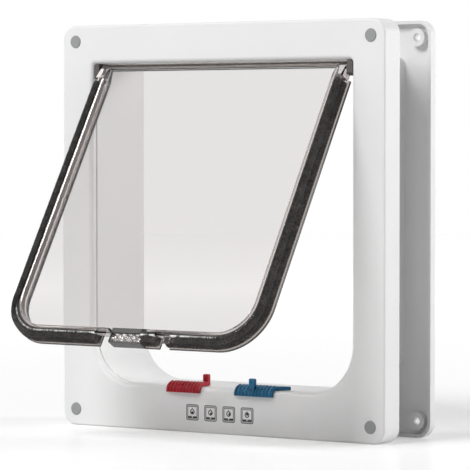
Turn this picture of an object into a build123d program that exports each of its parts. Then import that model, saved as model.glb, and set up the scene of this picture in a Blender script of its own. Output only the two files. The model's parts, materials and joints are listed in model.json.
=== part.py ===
"""Cat flap for a door panel: two telescoping frames, a clear swinging flap and two sliding locks.

Millimetres, +X to the right seen from the front, +Y into the door, +Z up.
The origin is the centre of the four screw holes, on the plane where the front frame meets the door.
Depths are measured back from the front face and heights up from the frames' lower edge.
"""

import os

from build123d import *

# Frames
FRAME_WIDTH = 240.0
FRAME_HEIGHT = 250.0
FRAME_CORNER = 9.0
FRONT_DEPTH = 16.0
REAR_DEPTH = 6.0
DOOR_THICKNESS = 34.5
FRONT_WALL = 2.4
FACE_THICKNESS = 2.6
REAR_WALL = 2.0
EDGE_ROUND = 1.2

# Opening in the front frame
SIDE_BORDER = 23.5
TOP_BORDER = 24.0
SILL_HEIGHT = 28.0
OPENING_CORNER = 30.0
LINTEL_CORNER = 2.0
LIP_ROUND = 3.0
GROOVE_START = 4.2
GROOVE_WIDTH = 1.4
GROOVE_DEPTH = 0.9

# Tunnel: the rear frame's sleeve runs inside the front frame's collar
LAND_DEPTH = 12.5
SLEEVE_STEP = 0.7
SLEEVE_WALL = 2.1
SLEEVE_CLEARANCE = 0.3
COLLAR_WALL = 2.0
COLLAR_LENGTH = 25.5
SLEEVE_END_GAP = 0.5
MOUTH_ROUND = 3.0

# Screw holes and their plugs
SCREW_INSET = 10.0
SCREW_HOLE = 5.0
FRONT_BOSS_WALL = 1.5
REAR_BOSS_WALL = 2.9
CAP_DIAMETER = 8.0
CAP_RECESS = 3.0
CAP_DOME = 0.5
CAP_CLEARANCE = 0.05

# Stiffening ribs behind the front face
RIB_THICKNESS = 1.6
RIB_SETBACK = 2.0
SIDE_RIB_PITCH = 62.0
RAIL_RIB_PITCH = 66.0

# Flap
FLAP_OPEN_ANGLE = 31.0
HINGE_DEPTH = 5.5
BAR_DIAMETER = 5.0
BAR_CLEARANCE = 0.3
FLAP_SIDE_GAP = 3.0
FLAP_FOOT_GAP = 4.2
FLAP_THICKNESS = 9.6
FLAP_CORNER_STEP = 1.0
CHANNEL_DEPTH = 6.8
FRONT_LIP = 2.6
CHANNEL_WALL = 1.4
WEB_THICKNESS = 1.6
SHEET_THICKNESS = 2.2
CHANNEL_START = 9.4
BAR_INSET = 2.0

# Hinge rod and brackets
ROD_DIAMETER = 2.5
ROD_CLEARANCE = 0.05
BAR_END_GAP = 0.9
BRACKET_DEPTH = 9.8
BRACKET_HEIGHT = 9.5
BRACKET_AHEAD = 4.3
BRACKET_ROUND = 2.5
BORE_FLOOR = 1.0
ROD_END_GAP = 0.2
SPIGOT_DIAMETER = 4.0
SPIGOT_LENGTH = 3.0
SPIGOT_CLEARANCE = 0.05

# Pile strips
PILE_TOP_GAP = 3.2
PILE_PROUD = 0.4
PILE_SIDE_CLEARANCE = 0.1
PILE_END_CLEARANCE = 0.5
PILE_TIP_ROUND = 1.2
CENTRE_PILE_WIDTH = 10.1

# Magnets
POCKET_WIDTH = 23.6
POCKET_HEIGHT = 9.6
POCKET_THICKNESS = 7.0
POCKET_AHEAD = 1.7
POCKET_RISE = 0.4
POCKET_WALL = 0.8
POCKET_ROOF = 3.3
FLAP_MAGNET_THICKNESS = 4.0
MAGNET_CLEARANCE = 0.1
COVER_THICKNESS = 1.1
FRAME_MAGNET_WIDTH = 20.0
FRAME_MAGNET_DEPTH = 6.0
FRAME_MAGNET_HEIGHT = 4.0
HOLDER_WALL = 1.2
RETAINER_THICKNESS = 1.2
RETAINER_OVERLAP = 0.6

# Locks: each slider straddles the sill's lip, with a foot under the sill and a peg that stops the flap
RED_GRIP_WIDTH = 24.6
RED_PEG_FROM_RIGHT = 4.4
BLUE_GRIP_WIDTH = 27.6
BLUE_PEG_FROM_LEFT = 12.9
LOCK_TRAVEL = 6.0
LOCK_CLEARANCE = 0.3
GRIP_DROP = 3.7
GRIP_PROUD = 2.6
RIDGE_RADIUS = 0.6
RIDGE_PITCH = 2.4
RIDGE_MARGIN = 0.7
PEG_WIDTH = 4.0
PEG_DEPTH = 2.5
PEG_RISE = 7.1
PEG_FLAP_GAP = 0.5
PEG_ROUND = 0.8
SHANK_WIDTH = 10.0
SHANK_DEPTH = 3.0
SHANK_FRONT = 4.0
SHANK_INSET = 1.0
SLOT_SPARE = 1.5
FOOT_OVERHANG = 2.0
FOOT_THICKNESS = 2.0
TAIL_REACH = 6.5
NOTCH_SIDE = 1.4
POCKET_NOTCH_GAP = 2.2
STOP_WIDTH = 5.0

# How near to a plane an edge lies to count as on it
ON_PLANE = 0.001

# Worked out from the sizes above
REAR_RIM_Y = DOOR_THICKNESS
REAR_BACK_Y = DOOR_THICKNESS + REAR_DEPTH
HALF_OPENING = FRAME_WIDTH / 2 - SIDE_BORDER
LINTEL_HEIGHT = FRAME_HEIGHT - TOP_BORDER
SLEEVE_OUTER = SLEEVE_STEP + SLEEVE_WALL
COLLAR_INNER = SLEEVE_OUTER + SLEEVE_CLEARANCE
COLLAR_OUTER = COLLAR_INNER + COLLAR_WALL
HINGE_HEIGHT = LINTEL_HEIGHT - BAR_CLEARANCE - BAR_DIAMETER / 2
HALF_FLAP = HALF_OPENING - FLAP_SIDE_GAP
FLAP_LENGTH = HINGE_HEIGHT - SILL_HEIGHT - FLAP_FOOT_GAP
FLAP_CORNER = OPENING_CORNER - FLAP_CORNER_STEP
HALF_BAR = HALF_FLAP - BAR_INSET
BRACKET_INNER = HALF_BAR + BAR_END_GAP
BRACKET_FRONT = HINGE_DEPTH - BRACKET_AHEAD
PILE_START = CHANNEL_START + PILE_TOP_GAP
HALF_THICKNESS = FLAP_THICKNESS / 2
HALF_POCKET = POCKET_WIDTH / 2
POCKET_BOTTOM = FLAP_LENGTH - POCKET_RISE
POCKET_TOP = POCKET_BOTTOM - POCKET_HEIGHT
NOTCH_TOP = FLAP_LENGTH - CHANNEL_DEPTH
PEG_NOTCH = PEG_WIDTH / 2 + NOTCH_SIDE
RED_PEG_X = -(HALF_POCKET + POCKET_NOTCH_GAP + PEG_NOTCH)
BLUE_PEG_X = HALF_POCKET + CENTRE_PILE_WIDTH + 2 * PILE_END_CLEARANCE + PEG_NOTCH
RED_GRIP_LEFT = RED_PEG_X + RED_PEG_FROM_RIGHT - RED_GRIP_WIDTH
BLUE_GRIP_LEFT = BLUE_PEG_X - BLUE_PEG_FROM_LEFT
GRIP_BOTTOM = SILL_HEIGHT - GRIP_DROP
GRIP_TOP = SILL_HEIGHT + GRIP_PROUD
PEG_TOP = SILL_HEIGHT + PEG_RISE
SILL_UNDERSIDE = SILL_HEIGHT - COLLAR_OUTER
PLATE_BOTTOM = SILL_HEIGHT + LOCK_CLEARANCE
FOOT_TOP = SILL_UNDERSIDE - LOCK_CLEARANCE
FOOT_BOTTOM = FOOT_TOP - FOOT_THICKNESS
RED_PEG_FRONT = HINGE_DEPTH + HALF_THICKNESS + PEG_FLAP_GAP
BLUE_PEG_FRONT = HINGE_DEPTH - HALF_THICKNESS - PEG_FLAP_GAP - PEG_DEPTH
PLATE_BACK = SHANK_FRONT + SHANK_DEPTH + FOOT_OVERHANG


def depth_y(depth):
    """Y of a depth behind the front face."""
    return depth - FRONT_DEPTH


def height_z(height):
    """Z of a height above the frames' lower edge."""
    return height - FRAME_HEIGHT / 2


HINGE_Y = depth_y(HINGE_DEPTH)
HINGE_Z = height_z(HINGE_HEIGHT)
HINGE_AXIS = Axis((0, HINGE_Y, HINGE_Z), (1, 0, 0))


def slab(outline, y_front, y_back):
    """Prism of an XZ outline between two Y planes."""
    plane = Plane(origin=(0, y_front, 0), x_dir=(1, 0, 0), z_dir=(0, -1, 0))
    return extrude(plane * outline, amount=y_back - y_front, dir=(0, 1, 0))


def block(x_low, x_high, y_low, y_high, z_low, z_high):
    """Box between two corners."""
    centre = ((x_low + x_high) / 2, (y_low + y_high) / 2, (z_low + z_high) / 2)
    return Pos(*centre) * Box(x_high - x_low, y_high - y_low, z_high - z_low)


def rod_along_x(x_low, x_high, y, z, diameter):
    """Cylinder along X."""
    plane = Plane(origin=(x_low, y, z), x_dir=(0, 1, 0), z_dir=(1, 0, 0))
    return extrude(plane * Circle(diameter / 2), amount=x_high - x_low, dir=(1, 0, 0))


def rod_along_y(x, z, y_low, y_high, diameter):
    """Cylinder along Y."""
    return slab(Pos(x, z) * Circle(diameter / 2), y_low, y_high)


def prism_along_x(outline, x_low, x_high):
    """Prism of a YZ outline between two X planes."""
    plane = Plane(origin=(x_low, 0, 0), x_dir=(0, 1, 0), z_dir=(1, 0, 0))
    return extrude(plane * outline, amount=x_high - x_low, dir=(1, 0, 0))


def arch(half_width, z_low, z_high, low_corner, high_corner):
    """Upright outline with its own radius at the two lower and the two upper corners."""
    outline = Pos(0, (z_low + z_high) / 2) * Rectangle(2 * half_width, z_high - z_low)
    middle = (z_low + z_high) / 2
    lower = [vertex for vertex in outline.vertices() if vertex.Y < middle]
    outline = fillet(lower, low_corner)
    if high_corner == 0:
        return outline
    upper = outline.vertices().sort_by(Axis.Y)[-2:]
    return fillet(upper, high_corner)


def opening(grow):
    """Outline of the opening, grown outwards."""
    return arch(
        HALF_OPENING + grow,
        height_z(SILL_HEIGHT) - grow,
        height_z(LINTEL_HEIGHT) + grow,
        OPENING_CORNER + grow,
        LINTEL_CORNER + grow,
    )


def rounded_plate(inset):
    """Outline of the frames, drawn in by an inset."""
    return RectangleRounded(
        FRAME_WIDTH - 2 * inset,
        FRAME_HEIGHT - 2 * inset,
        FRAME_CORNER - inset,
    )


def screw_places():
    """The four screw positions by name."""
    half_x = FRAME_WIDTH / 2 - SCREW_INSET
    half_z = FRAME_HEIGHT / 2 - SCREW_INSET
    return {
        "top_left": (-half_x, half_z),
        "top_right": (half_x, half_z),
        "bottom_left": (-half_x, -half_z),
        "bottom_right": (half_x, -half_z),
    }


def edges_on_plane(solid, y):
    """Edges that lie on one Y plane."""
    return solid.edges().filter_by_position(Axis.Y, y - ON_PLANE, y + ON_PLANE)


def edge_in_opening(edge):
    """True for an edge that lies on the tunnel's mouth rather than the frame's outside."""
    centre = edge.center()
    inside_x = abs(centre.X) < HALF_OPENING + COLLAR_OUTER
    inside_z = abs(centre.Z) < FRAME_HEIGHT / 2 - 2 * EDGE_ROUND
    return inside_x and inside_z


def stiffening_ribs():
    """Ribs across the hollow, between the skirt and the collar."""
    face_y = depth_y(FACE_THICKNESS)
    skirt_x = FRAME_WIDTH / 2 - FRONT_WALL
    skirt_z = FRAME_HEIGHT / 2 - FRONT_WALL
    half_rib = RIB_THICKNESS / 2
    collar_x = HALF_OPENING + COLLAR_OUTER
    lintel_z = height_z(LINTEL_HEIGHT) + COLLAR_OUTER
    sill_z = height_z(SILL_UNDERSIDE)
    ribs = []
    for step in (-1, 0, 1):
        z = step * SIDE_RIB_PITCH
        x = step * RAIL_RIB_PITCH
        ribs.append(block(collar_x, skirt_x, face_y, -RIB_SETBACK, z - half_rib, z + half_rib))
        ribs.append(block(-skirt_x, -collar_x, face_y, -RIB_SETBACK, z - half_rib, z + half_rib))
        ribs.append(block(x - half_rib, x + half_rib, face_y, -RIB_SETBACK, lintel_z, skirt_z))
    for side in (-1, 1):
        x = side * RAIL_RIB_PITCH
        ribs.append(block(x - half_rib, x + half_rib, face_y, -RIB_SETBACK, -skirt_z, sill_z))
    return ribs


def frame_magnet_box(grow_sides, z_low, z_high):
    """Block centred under the sill, behind the front face, as wide as the frame magnet plus a margin."""
    y_front = depth_y(FACE_THICKNESS) + MAGNET_CLEARANCE
    half_width = FRAME_MAGNET_WIDTH / 2 + grow_sides
    return block(
        -half_width,
        half_width,
        y_front - grow_sides,
        y_front + FRAME_MAGNET_DEPTH + grow_sides,
        z_low,
        z_high,
    )


def slot_span(grip_left, grip_width, side):
    """X limits of a slider's shank at rest and of the slot that it runs in."""
    if side < 0:
        shank_low = grip_left + SHANK_INSET
        shank_high = shank_low + SHANK_WIDTH
        slot = (shank_low - LOCK_TRAVEL - SLOT_SPARE, shank_high + LOCK_CLEARANCE)
    else:
        shank_high = grip_left + grip_width - SHANK_INSET
        shank_low = shank_high - SHANK_WIDTH
        slot = (shank_low - LOCK_CLEARANCE, shank_high + LOCK_TRAVEL + SLOT_SPARE)
    return (shank_low, shank_high), slot


RED_SHANK, RED_SLOT = slot_span(RED_GRIP_LEFT, RED_GRIP_WIDTH, -1)
BLUE_SHANK, BLUE_SLOT = slot_span(BLUE_GRIP_LEFT, BLUE_GRIP_WIDTH, 1)


def make_front_frame():
    """Hollow white frame with the grooved lip, the collar into the door, screw bosses and lock slots."""
    front_y = depth_y(0)
    face_y = depth_y(FACE_THICKNESS)
    land_y = depth_y(LAND_DEPTH)
    collar_y = land_y + COLLAR_LENGTH
    shell = slab(rounded_plate(0), front_y, 0)
    shell = fillet(edges_on_plane(shell, front_y), EDGE_ROUND)
    shell -= slab(rounded_plate(FRONT_WALL) - opening(COLLAR_OUTER), face_y, 0)
    shell += slab(opening(COLLAR_OUTER), face_y, collar_y)
    for rib in stiffening_ribs():
        shell += rib
    for x, z in screw_places().values():
        shell += rod_along_y(x, z, face_y, 0, CAP_DIAMETER + 2 * FRONT_BOSS_WALL)
    shell -= slab(opening(0), front_y, land_y)
    shell -= slab(opening(COLLAR_INNER), land_y, collar_y)
    lip = [edge for edge in edges_on_plane(shell, front_y) if edge_in_opening(edge)]
    shell = fillet(lip, LIP_ROUND)
    shell -= slab(opening(GROOVE_DEPTH), depth_y(GROOVE_START), depth_y(GROOVE_START + GROOVE_WIDTH))
    for x, z in screw_places().values():
        shell -= rod_along_y(x, z, front_y, 0, SCREW_HOLE)
        shell -= rod_along_y(x, z, front_y, depth_y(CAP_RECESS), CAP_DIAMETER)
    holder_top = height_z(SILL_UNDERSIDE)
    holder_bottom = holder_top - FRAME_MAGNET_HEIGHT - MAGNET_CLEARANCE
    shell += frame_magnet_box(MAGNET_CLEARANCE + HOLDER_WALL, holder_bottom, holder_top)
    shell -= frame_magnet_box(MAGNET_CLEARANCE, holder_bottom, holder_top)
    slot_front = depth_y(SHANK_FRONT - LOCK_CLEARANCE)
    slot_back = depth_y(SHANK_FRONT + SHANK_DEPTH + LOCK_CLEARANCE)
    for slot_low, slot_high in (RED_SLOT, BLUE_SLOT):
        shell -= block(
            slot_low,
            slot_high,
            slot_front,
            slot_back,
            height_z(SILL_UNDERSIDE),
            height_z(SILL_HEIGHT),
        )
    for side in (-1, 1):
        shell -= bracket_spigot(side, SPIGOT_CLEARANCE)
    return shell


def bracket_spigot(side, clearance):
    """Round stub that plugs a hinge bracket into the side of the opening, or its hole."""
    end = HALF_OPENING + SPIGOT_LENGTH + clearance
    x_ends = sorted((side * HALF_OPENING, side * end))
    return rod_along_x(x_ends[0], x_ends[1], HINGE_Y, HINGE_Z, SPIGOT_DIAMETER + 2 * clearance)


def make_hinge_bracket(side):
    """Dark block in a top corner of the opening, with a blind bore for the hinge rod."""
    x_ends = sorted((side * BRACKET_INNER, side * HALF_OPENING))
    z_high = height_z(LINTEL_HEIGHT)
    bracket = block(
        x_ends[0],
        x_ends[1],
        depth_y(BRACKET_FRONT),
        depth_y(BRACKET_FRONT + BRACKET_DEPTH),
        z_high - BRACKET_HEIGHT,
        z_high,
    )
    along_x = bracket.edges().filter_by(Axis.X).group_by(Axis.Z)[0]
    bracket = fillet(along_x, BRACKET_ROUND)
    along_y = bracket.edges().filter_by(Axis.Y).group_by(Axis.Z)[-1]
    outer_top = along_y.sort_by(Axis.X)[-1 if side > 0 else 0]
    bracket = fillet([outer_top], BRACKET_ROUND)
    bracket += bracket_spigot(side, 0)
    bore_ends = sorted((side * BRACKET_INNER, side * (HALF_OPENING - BORE_FLOOR)))
    return bracket - rod_along_x(
        bore_ends[0],
        bore_ends[1],
        HINGE_Y,
        HINGE_Z,
        ROD_DIAMETER + 2 * ROD_CLEARANCE,
    )


def make_screw_cap(x, z):
    """Grey plug that fills a screw hole's recess, with a slightly domed face."""
    diameter = CAP_DIAMETER - 2 * CAP_CLEARANCE
    cap = rod_along_y(x, z, depth_y(-CAP_DOME), depth_y(CAP_RECESS), diameter)
    return fillet(edges_on_plane(cap, depth_y(-CAP_DOME)), CAP_DOME)


def make_frame_magnet():
    """Bar magnet under the sill."""
    top = height_z(SILL_UNDERSIDE)
    return frame_magnet_box(0, top - FRAME_MAGNET_HEIGHT, top)


def make_magnet_retainer():
    """Plate that closes the frame magnet's holder from below."""
    top = height_z(SILL_UNDERSIDE) - FRAME_MAGNET_HEIGHT - MAGNET_CLEARANCE
    margin = MAGNET_CLEARANCE + HOLDER_WALL + RETAINER_OVERLAP
    plate = frame_magnet_box(margin, top - RETAINER_THICKNESS, top)
    return plate - slab(rounded_plate(0), depth_y(0), depth_y(FACE_THICKNESS))


def make_rear_frame():
    """White tray, open towards the door, with screw bosses and the sleeve that runs inside the collar."""
    sleeve_y = depth_y(LAND_DEPTH + SLEEVE_END_GAP)
    floor_y = REAR_BACK_Y - REAR_WALL
    tray = slab(rounded_plate(0), REAR_RIM_Y, REAR_BACK_Y)
    tray = fillet(edges_on_plane(tray, REAR_BACK_Y), EDGE_ROUND)
    tray -= slab(rounded_plate(REAR_WALL), REAR_RIM_Y, floor_y)
    for x, z in screw_places().values():
        tray += rod_along_y(x, z, REAR_RIM_Y, floor_y, SCREW_HOLE + 2 * REAR_BOSS_WALL)
    tray += slab(opening(SLEEVE_OUTER), sleeve_y, floor_y)
    tray -= slab(opening(SLEEVE_STEP), sleeve_y, REAR_BACK_Y)
    mouth = [edge for edge in edges_on_plane(tray, REAR_BACK_Y) if edge_in_opening(edge)]
    tray = fillet(mouth, MOUTH_ROUND)
    for x, z in screw_places().values():
        tray -= rod_along_y(x, z, REAR_RIM_Y, REAR_BACK_Y, SCREW_HOLE)
    return tray


def flap_outline(inset, top):
    """Outline of the flap, hung from the hinge axis, drawn in by an inset on its sides and bottom."""
    return arch(
        HALF_FLAP - inset,
        HINGE_Z - FLAP_LENGTH + inset,
        HINGE_Z - top,
        FLAP_CORNER - inset,
        0,
    )


def flap_slab(outline, half_thickness):
    """Prism of a flap outline about the flap's middle plane."""
    return slab(outline, HINGE_Y - half_thickness, HINGE_Y + half_thickness)


def flap_block(x_low, x_high, drop_low, drop_high, half_thickness):
    """Box on the flap's middle plane, between two drops below the hinge axis."""
    return block(
        x_low,
        x_high,
        HINGE_Y - half_thickness,
        HINGE_Y + half_thickness,
        HINGE_Z - drop_high,
        HINGE_Z - drop_low,
    )


def hang_open(solid):
    """Swing a piece of the closed flap to the stored angle, towards the front."""
    return solid.rotate(HINGE_AXIS, -FLAP_OPEN_ANGLE)


def make_flap_panel():
    """Clear moulding: a sheet, an outward channel with a short front lip, the bar and the magnet pocket."""
    web_outer = flap_outline(CHANNEL_DEPTH, CHANNEL_START)
    web_inner = flap_outline(CHANNEL_DEPTH + WEB_THICKNESS, CHANNEL_START)
    sheet = flap_outline(CHANNEL_DEPTH + WEB_THICKNESS / 2, 0)
    lip = flap_outline(CHANNEL_DEPTH - FRONT_LIP, CHANNEL_START)
    rim = flap_outline(0, CHANNEL_START)
    groove = HALF_THICKNESS - CHANNEL_WALL
    bar_radius = BAR_DIAMETER / 2
    panel = flap_slab(rim - web_inner, HALF_THICKNESS)
    panel -= flap_slab(rim - web_outer, groove)
    panel -= slab(rim - lip, HINGE_Y - HALF_THICKNESS, HINGE_Y - groove)
    panel += lock_stop()
    panel += flap_slab(sheet, SHEET_THICKNESS / 2)
    panel += rod_along_x(-HALF_BAR, HALF_BAR, HINGE_Y, HINGE_Z, BAR_DIAMETER)
    shoulder_z = HINGE_Z - CHANNEL_START
    shoulder = Polygon(
        (HINGE_Y - bar_radius, HINGE_Z),
        (HINGE_Y + bar_radius, HINGE_Z),
        (HINGE_Y + HALF_THICKNESS, shoulder_z),
        (HINGE_Y - HALF_THICKNESS, shoulder_z),
        align=None,
    )
    arm_inner = HALF_FLAP - CHANNEL_DEPTH - WEB_THICKNESS
    panel += prism_along_x(shoulder, arm_inner, HALF_BAR)
    panel += prism_along_x(shoulder, -HALF_BAR, -arm_inner)
    panel -= flap_block(-HALF_POCKET, HALF_POCKET, NOTCH_TOP - WEB_THICKNESS, FLAP_LENGTH, HALF_THICKNESS)
    panel += pocket_block()
    panel -= pocket_layer(0, COVER_THICKNESS + FLAP_MAGNET_THICKNESS, 0)
    panel -= flap_block(RED_PEG_X - PEG_NOTCH, -HALF_POCKET, NOTCH_TOP, FLAP_LENGTH, HALF_THICKNESS)
    blue_left = BLUE_PEG_X - PEG_NOTCH
    blue_right = BLUE_PEG_X + PEG_NOTCH
    panel -= flap_block(blue_left, blue_right, NOTCH_TOP, FLAP_LENGTH, HALF_THICKNESS)
    panel -= rod_along_x(-HALF_BAR, HALF_BAR, HINGE_Y, HINGE_Z, ROD_DIAMETER + 2 * ROD_CLEARANCE)
    return hang_open(panel)


def lock_stop():
    """Part of the channel's front wall that is left long, for the blue lock's peg to bear on."""
    low_x = BLUE_PEG_X + PEG_NOTCH
    front_y = HINGE_Y - HALF_THICKNESS
    return block(
        low_x,
        low_x + STOP_WIDTH,
        front_y,
        front_y + CHANNEL_WALL,
        HINGE_Z - FLAP_LENGTH,
        HINGE_Z - NOTCH_TOP,
    )


def pocket_block():
    """Solid block of the magnet pocket, mostly behind the flap's middle plane."""
    return block(
        -HALF_POCKET,
        HALF_POCKET,
        HINGE_Y - POCKET_AHEAD,
        HINGE_Y - POCKET_AHEAD + POCKET_THICKNESS,
        HINGE_Z - POCKET_BOTTOM,
        HINGE_Z - POCKET_TOP,
    )


def pocket_layer(from_face, to_face, clearance):
    """Block that fills the magnet pocket between two depths behind the pocket's face."""
    half_width = HALF_POCKET - POCKET_WALL - clearance
    face_y = HINGE_Y - POCKET_AHEAD
    return block(
        -half_width,
        half_width,
        face_y + from_face,
        face_y + to_face,
        HINGE_Z - POCKET_BOTTOM + POCKET_WALL + clearance,
        HINGE_Z - POCKET_TOP - POCKET_ROOF - clearance,
    )


def make_flap_magnet():
    """Bar magnet in the flap's pocket."""
    magnet = pocket_layer(COVER_THICKNESS, COVER_THICKNESS + FLAP_MAGNET_THICKNESS, MAGNET_CLEARANCE)
    return hang_open(magnet)


def make_magnet_cover():
    """Clear plate over the flap's magnet."""
    return hang_open(pocket_layer(0, COVER_THICKNESS, MAGNET_CLEARANCE))


def make_pile_strip(x_low, x_high):
    """Dark pile in the flap's channel between two X limits, standing a little proud of it."""
    half_width = HALF_THICKNESS - CHANNEL_WALL - PILE_SIDE_CLEARANCE
    strip = flap_slab(flap_outline(-PILE_PROUD, PILE_START), half_width)
    tips = edges_on_plane(strip, HINGE_Y - half_width) + edges_on_plane(strip, HINGE_Y + half_width)
    strip = fillet(tips, PILE_TIP_ROUND)
    strip -= flap_slab(flap_outline(CHANNEL_DEPTH, 0), half_width)
    keep = flap_block(x_low, x_high, PILE_START, FLAP_LENGTH + PILE_PROUD, half_width)
    return hang_open(strip & keep)


def make_hinge_rod():
    """Steel rod through the flap's top bar, with its ends in the brackets."""
    half_length = HALF_OPENING - BORE_FLOOR - ROD_END_GAP
    return hang_open(rod_along_x(-half_length, half_length, HINGE_Y, HINGE_Z, ROD_DIAMETER))


def grip_outline():
    """Side outline of a slider: an even shell up the front face, over the lip and back along the sill."""
    lip_radius = LIP_ROUND + LOCK_CLEARANCE
    lip_centre_z = height_z(SILL_HEIGHT - LIP_ROUND)
    lip_centre_y = depth_y(LIP_ROUND)
    pad_y = depth_y(-GRIP_PROUD)
    top_z = height_z(GRIP_TOP)
    back_y = depth_y(PLATE_BACK)
    profile = Polyline(
        (lip_centre_y, lip_centre_z + lip_radius),
        (back_y, height_z(PLATE_BOTTOM)),
        (back_y, top_z),
        (lip_centre_y, top_z),
    )
    profile += RadiusArc((lip_centre_y, top_z), (pad_y, lip_centre_z), -(LIP_ROUND + GRIP_PROUD))
    profile += Polyline(
        (pad_y, lip_centre_z),
        (pad_y, height_z(GRIP_BOTTOM)),
        (lip_centre_y - lip_radius, height_z(GRIP_BOTTOM)),
        (lip_centre_y - lip_radius, lip_centre_z),
    )
    profile += RadiusArc(
        (lip_centre_y - lip_radius, lip_centre_z),
        (lip_centre_y, lip_centre_z + lip_radius),
        lip_radius,
    )
    return make_face(profile)


def detent_tail(x, reach):
    """Tapered tongue on the sill at a slider's right end."""
    plane = Plane.XY.offset(height_z(PLATE_BOTTOM))
    tongue = Polygon(
        (x, depth_y(LIP_ROUND)),
        (x + reach, depth_y(PLATE_BACK)),
        (x, depth_y(PLATE_BACK)),
        align=None,
    )
    return extrude(plane * tongue, amount=GRIP_TOP - PLATE_BOTTOM, dir=(0, 0, 1))


def grip_ridge(x):
    """Round ridge up a grip's front and over its top."""
    lip_centre_y = depth_y(LIP_ROUND)
    lip_centre_z = height_z(SILL_HEIGHT - LIP_ROUND)
    section = Plane.XY.offset(lip_centre_z) * Pos(x, depth_y(-GRIP_PROUD)) * Circle(RIDGE_RADIUS)
    upright = extrude(section, amount=lip_centre_z - height_z(GRIP_BOTTOM), dir=(0, 0, -1))
    over_top = revolve(section, Axis((x, lip_centre_y, lip_centre_z), (-1, 0, 0)), 90)
    return upright + over_top


def make_lock(grip_left, grip_width, shank, peg_x, peg_front, tail_reach):
    """Sliding lock: a ridged grip over the lip, a shank and foot through the sill, and a peg."""
    lock = prism_along_x(grip_outline(), grip_left, grip_left + grip_width)
    first = grip_left + RIDGE_MARGIN + RIDGE_RADIUS
    last = grip_left + grip_width - RIDGE_MARGIN - RIDGE_RADIUS
    ridges = int((last - first) / RIDGE_PITCH) + 1
    spread = (last - first) / (ridges - 1)
    lock += [grip_ridge(first + index * spread) for index in range(ridges)]
    lock += block(
        shank[0],
        shank[1],
        depth_y(SHANK_FRONT),
        depth_y(SHANK_FRONT + SHANK_DEPTH),
        height_z(FOOT_BOTTOM),
        height_z(GRIP_TOP),
    )
    lock += block(
        shank[0],
        shank[1],
        depth_y(FACE_THICKNESS + LOCK_CLEARANCE),
        depth_y(PLATE_BACK),
        height_z(FOOT_BOTTOM),
        height_z(FOOT_TOP),
    )
    peg_back = peg_front + PEG_DEPTH
    lock += block(
        peg_x - PEG_WIDTH / 2,
        peg_x + PEG_WIDTH / 2,
        depth_y(min(peg_front, PLATE_BACK)),
        depth_y(peg_back),
        height_z(PLATE_BOTTOM),
        height_z(GRIP_TOP),
    )
    if tail_reach > 0:
        lock += detent_tail(grip_left + grip_width, tail_reach)
    peg = block(
        peg_x - PEG_WIDTH / 2,
        peg_x + PEG_WIDTH / 2,
        depth_y(peg_front),
        depth_y(peg_back),
        height_z(PLATE_BOTTOM),
        height_z(PEG_TOP),
    )
    return lock + fillet(peg.edges().group_by(Axis.Z)[-1], PEG_ROUND)


def export(name, solid):
    """Write one node's file."""
    export_step(solid, os.path.join("parts", name + ".step"))


def main():
    """Make every node."""
    os.makedirs("parts", exist_ok=True)
    export("front_frame", make_front_frame())
    export("hinge_bracket_left", make_hinge_bracket(-1))
    export("hinge_bracket_right", make_hinge_bracket(1))
    for place, (x, z) in screw_places().items():
        export("screw_cap_" + place, make_screw_cap(x, z))
    export("frame_magnet", make_frame_magnet())
    export("magnet_retainer", make_magnet_retainer())
    export("rear_frame", make_rear_frame())
    export("flap_panel", make_flap_panel())
    export("hinge_rod", make_hinge_rod())
    reach = HALF_FLAP + PILE_PROUD
    red_edge = RED_PEG_X - PEG_NOTCH - PILE_END_CLEARANCE
    blue_low = BLUE_PEG_X - PEG_NOTCH - PILE_END_CLEARANCE
    blue_high = BLUE_PEG_X + PEG_NOTCH + PILE_END_CLEARANCE
    export("pile_strip_left", make_pile_strip(-reach, red_edge))
    export("pile_strip_centre", make_pile_strip(HALF_POCKET + PILE_END_CLEARANCE, blue_low))
    export("pile_strip_right", make_pile_strip(blue_high, reach))
    export("flap_magnet", make_flap_magnet())
    export("magnet_cover", make_magnet_cover())
    red_lock = make_lock(RED_GRIP_LEFT, RED_GRIP_WIDTH, RED_SHANK, RED_PEG_X, RED_PEG_FRONT, 0)
    export("red_lock", red_lock)
    blue_lock = make_lock(
        BLUE_GRIP_LEFT,
        BLUE_GRIP_WIDTH,
        BLUE_SHANK,
        BLUE_PEG_X,
        BLUE_PEG_FRONT,
        TAIL_REACH,
    )
    export("blue_lock", blue_lock)


main()
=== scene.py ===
"""Finishes the cat flap: white frames, a clear flap with dark pile, coloured locks and printed symbols."""

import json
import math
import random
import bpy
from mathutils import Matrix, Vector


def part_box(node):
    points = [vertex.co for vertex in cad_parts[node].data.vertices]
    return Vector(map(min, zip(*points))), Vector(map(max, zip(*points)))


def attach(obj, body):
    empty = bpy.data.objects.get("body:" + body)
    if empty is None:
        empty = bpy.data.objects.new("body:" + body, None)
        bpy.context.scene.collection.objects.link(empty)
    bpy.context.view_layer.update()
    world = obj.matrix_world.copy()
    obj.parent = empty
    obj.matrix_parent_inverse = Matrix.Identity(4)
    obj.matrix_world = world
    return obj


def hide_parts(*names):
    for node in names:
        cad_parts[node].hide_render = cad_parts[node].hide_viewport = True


bl_info = {
    "name": "Cat Flap Finisher",
    "version": (1, 0, 0),
    "blender": (4, 5, 0),
    "location": "View3D > Sidebar > Cat Flap",
    "description": "Models and finishes the visible pieces of a cat flap and sets a plain studio around it",
    "category": "Object",
}

import bpy
from bpy.props import FloatProperty, FloatVectorProperty, IntProperty, PointerProperty
from mathutils import Matrix, Vector
from mathutils.geometry import interpolate_bezier

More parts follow.
